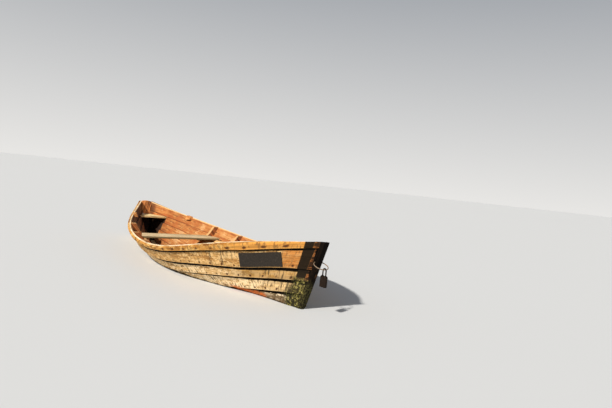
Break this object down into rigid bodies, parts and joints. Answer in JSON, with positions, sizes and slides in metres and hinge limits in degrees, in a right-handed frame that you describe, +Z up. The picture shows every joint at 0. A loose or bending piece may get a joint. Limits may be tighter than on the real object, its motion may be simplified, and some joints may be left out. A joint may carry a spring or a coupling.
{
  "type": "rowing boat",
  "caption": "Clinker rowing boat with a raked stem, narrow transom, weathered planks and a padlocked mooring ring",
  "frame": {"origin": "amidships on the centreline, at the waterline", "axes": "+X towards the stem, +Y to port, +Z up; metres"},
  "size_m": [4.3199, 1.464, 0.7335],
  "materials": {
    "plank_wood": "weathered",
    "band_wood": "weathered",
    "inner_wood": "worn",
    "seat_wood": "weathered",
    "dark_wood": "tarred",
    "iron": "rusty"
  },
  "bodies": {
    "root": {"plank_1_port": "plank_wood", "plank_1_starboard": "plank_wood", "plank_2_port": "plank_wood", "plank_2_starboard": "plank_wood", "plank_3_port": "plank_wood", "plank_3_starboard": "plank_wood", "plank_4_port": "plank_wood", "plank_4_starboard": "plank_wood", "plank_5_port": "plank_wood", "plank_5_starboard": "plank_wood", "rubbing_band_port": "band_wood", "riser_port": "inner_wood", "oar_block_port": "inner_wood", "rubbing_band_starboard": "band_wood", "riser_starboard": "inner_wood", "oar_block_starboard": "inner_wood", "rib_1": "inner_wood", "rib_2": "inner_wood", "rib_3": "inner_wood", "rib_4": "inner_wood", "rib_5": "inner_wood", "rib_6": "inner_wood", "keel": "dark_wood", "skeg": "dark_wood", "stem_post": "dark_wood", "transom": "plank_wood", "floor_boards": "inner_wood", "main_thwart": "seat_wood", "forward_thwart": "seat_wood", "stern_seat": "seat_wood", "stern_seat_peg": "seat_wood", "breasthook": "inner_wood", "mooring_ring": "iron", "padlock": "iron"}
  },
  "joints": []
}
